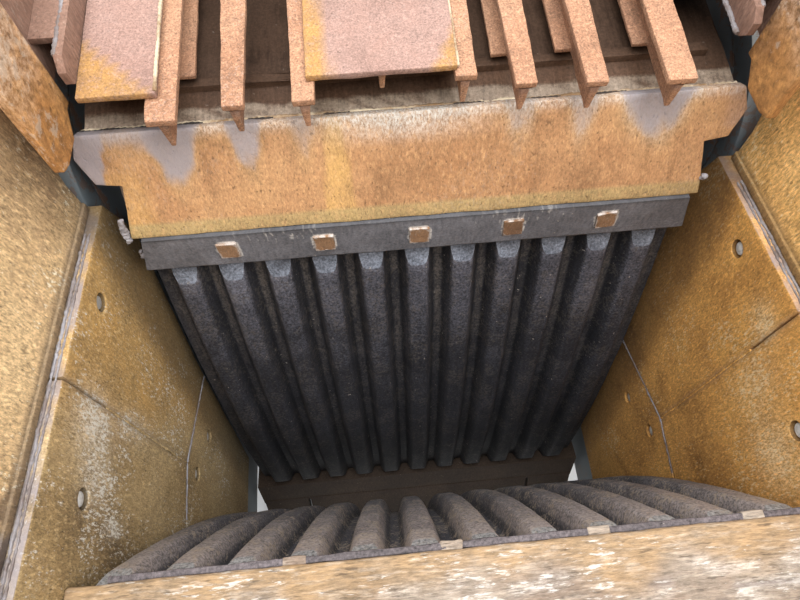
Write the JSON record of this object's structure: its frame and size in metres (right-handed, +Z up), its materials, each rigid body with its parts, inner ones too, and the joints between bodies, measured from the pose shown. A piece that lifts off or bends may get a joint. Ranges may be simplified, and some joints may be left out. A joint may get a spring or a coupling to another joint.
{
  "type": "jaw crusher",
  "caption": "Single-toggle jaw crusher with ridged fixed and swing jaw dies, cheek plates, flywheels, feed hopper and the end of the grizzly deck that feeds it.",
  "frame": {"origin": "on the ground, at the centre of the four feet's bolts", "axes": "+Z up, +Y along the feed from the fixed jaw to the swing jaw and the deck, +X to the right across the machine"},
  "size_m": [1.958, 1.815, 2.1014],
  "materials": {
    "frame_paint": "blue-grey paint, worn and dusty",
    "beam_rust": "flaking rust with pale streaks",
    "cheek_rust": "golden-brown rust, polished specks",
    "die_steel": "dark cast manganese steel, worn bright on the ridges",
    "die_brown": "dark brown cast steel with rust specks",
    "guard_rust": "orange rust, bare grey patches under the bars",
    "bar_rust": "salmon rust, speckled",
    "plate_rust": "pale rust with yellow-orange edges",
    "hopper_rust": "golden-brown rust on wear plate",
    "liner_rust": "red-brown rust",
    "shaft_steel": "machined, oiled",
    "bolt_rust": "rusted square heads",
    "cast_grey": "raw casting, dusty",
    "pitman_paint": "grey-brown paint, worn"
  },
  "bodies": {
    "frame": {"side_plate_left": "frame_paint", "side_plate_right": "frame_paint", "front_wall": "frame_paint", "front_beam": "beam_rust", "rear_beam": "frame_paint", "feet": "frame_paint", "cheek_rear_left": "cheek_rust", "cheek_rear_right": "cheek_rust", "cheek_front_left": "cheek_rust", "cheek_front_right": "cheek_rust", "cheek_lower_left": "cheek_rust", "cheek_lower_right": "cheek_rust", "fixed_jaw_die": "die_brown", "die_lips": "beam_rust", "bearing_housing_left": "frame_paint", "bearing_housing_right": "frame_paint", "eccentric_shaft": "shaft_steel", "flywheel": "frame_paint", "drive_sheave": "frame_paint", "toggle_plate": "cast_grey", "rear_toggle_seat": "cast_grey", "tension_housing": "frame_paint", "hopper_left": "hopper_rust", "hopper_right": "hopper_rust", "hopper_front": "hopper_rust", "deflector_left": "hopper_rust", "deflector_right": "hopper_rust", "grizzly_bars": "bar_rust", "deck_plates": "plate_rust", "grizzly_beam": "frame_paint", "grizzly_side_left": "liner_rust", "grizzly_side_right": "liner_rust", "side_liners": "liner_rust"},
    "swing_jaw": {"pitman": "pitman_paint", "swing_jaw_die": "die_steel", "toe_bar": "die_steel", "front_toggle_seat": "cast_grey", "wedge_bar": "die_steel", "wedge_bolts": "bolt_rust", "guard_plate": "guard_rust", "pitman_cover": "liner_rust", "tension_rod": "shaft_steel"}
  },
  "joints": [
    {"name": "jaw_swing", "type": "hinge", "parent": "frame", "child": "swing_jaw", "pos_m": [0, 0.364, 1.49], "axis": [-1, 0, 0], "range_deg": [0, 1.3]}
  ]
}
